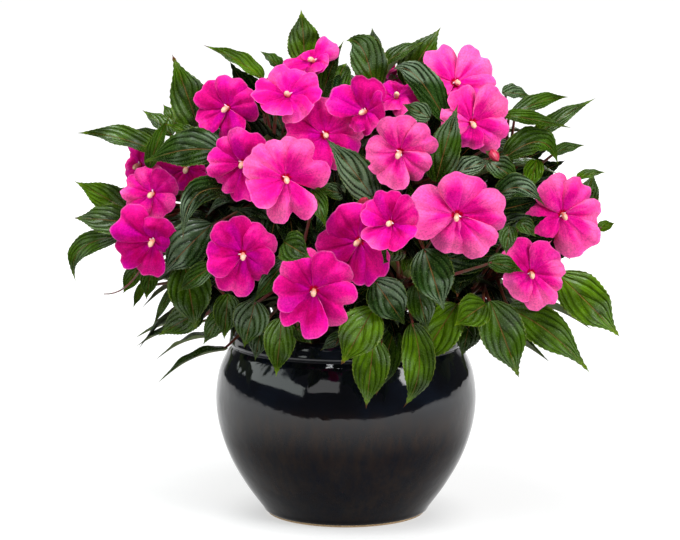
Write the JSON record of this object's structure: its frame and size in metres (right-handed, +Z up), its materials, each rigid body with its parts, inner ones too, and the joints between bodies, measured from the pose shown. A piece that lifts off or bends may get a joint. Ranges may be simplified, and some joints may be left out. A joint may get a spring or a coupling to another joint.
{
  "type": "potted new guinea impatiens",
  "caption": "Mounded flowering plant with pointed leaves and broad five-petalled pink blooms, growing in a squat round glazed pot.",
  "frame": {"origin": "centre of the pot's flat foot, on the surface it stands on", "axes": "+Z up, -Y towards the plant's front, +X to the right seen from the front"},
  "size_m": [0.4296, 0.3855, 0.4055],
  "materials": {
    "pot": "near-black gloss glaze",
    "soil": "loose dark potting mix",
    "leafy_stem": "satin green leaf on fleshy stems",
    "bloom": "soft hot-pink petals",
    "bud": "satin red bud"
  },
  "bodies": {
    "root": {"pot": "pot", "soil": "soil", "leafy_stem_01": "leafy_stem", "leafy_stem_02": "leafy_stem", "leafy_stem_03": "leafy_stem", "leafy_stem_04": "leafy_stem", "leafy_stem_05": "leafy_stem", "leafy_stem_06": "leafy_stem", "leafy_stem_07": "leafy_stem", "leafy_stem_08": "leafy_stem", "leafy_stem_09": "leafy_stem", "leafy_stem_10": "leafy_stem", "leafy_stem_11": "leafy_stem", "leafy_stem_12": "leafy_stem", "leafy_stem_13": "leafy_stem", "leafy_stem_14": "leafy_stem", "bloom_01": "bloom", "bloom_02": "bloom", "bloom_03": "bloom", "bloom_04": "bloom", "bloom_05": "bloom", "bloom_06": "bloom", "bloom_07": "bloom", "bloom_08": "bloom", "bloom_09": "bloom", "bloom_10": "bloom", "bloom_11": "bloom", "bloom_12": "bloom", "bloom_13": "bloom", "bloom_14": "bloom", "bloom_15": "bloom", "bloom_16": "bloom", "bloom_17": "bloom", "bloom_18": "bloom", "bloom_19": "bloom", "bloom_20": "bloom", "bloom_21": "bloom", "bloom_22": "bloom", "bloom_23": "bloom", "bloom_24": "bloom", "bloom_25": "bloom", "bloom_26": "bloom", "bloom_27": "bloom", "bloom_28": "bloom", "bloom_29": "bloom", "bloom_30": "bloom", "bloom_31": "bloom", "bloom_32": "bloom", "bloom_33": "bloom", "bud_1": "bud", "bud_2": "bud", "bud_3": "bud", "bud_4": "bud"}
  },
  "joints": []
}
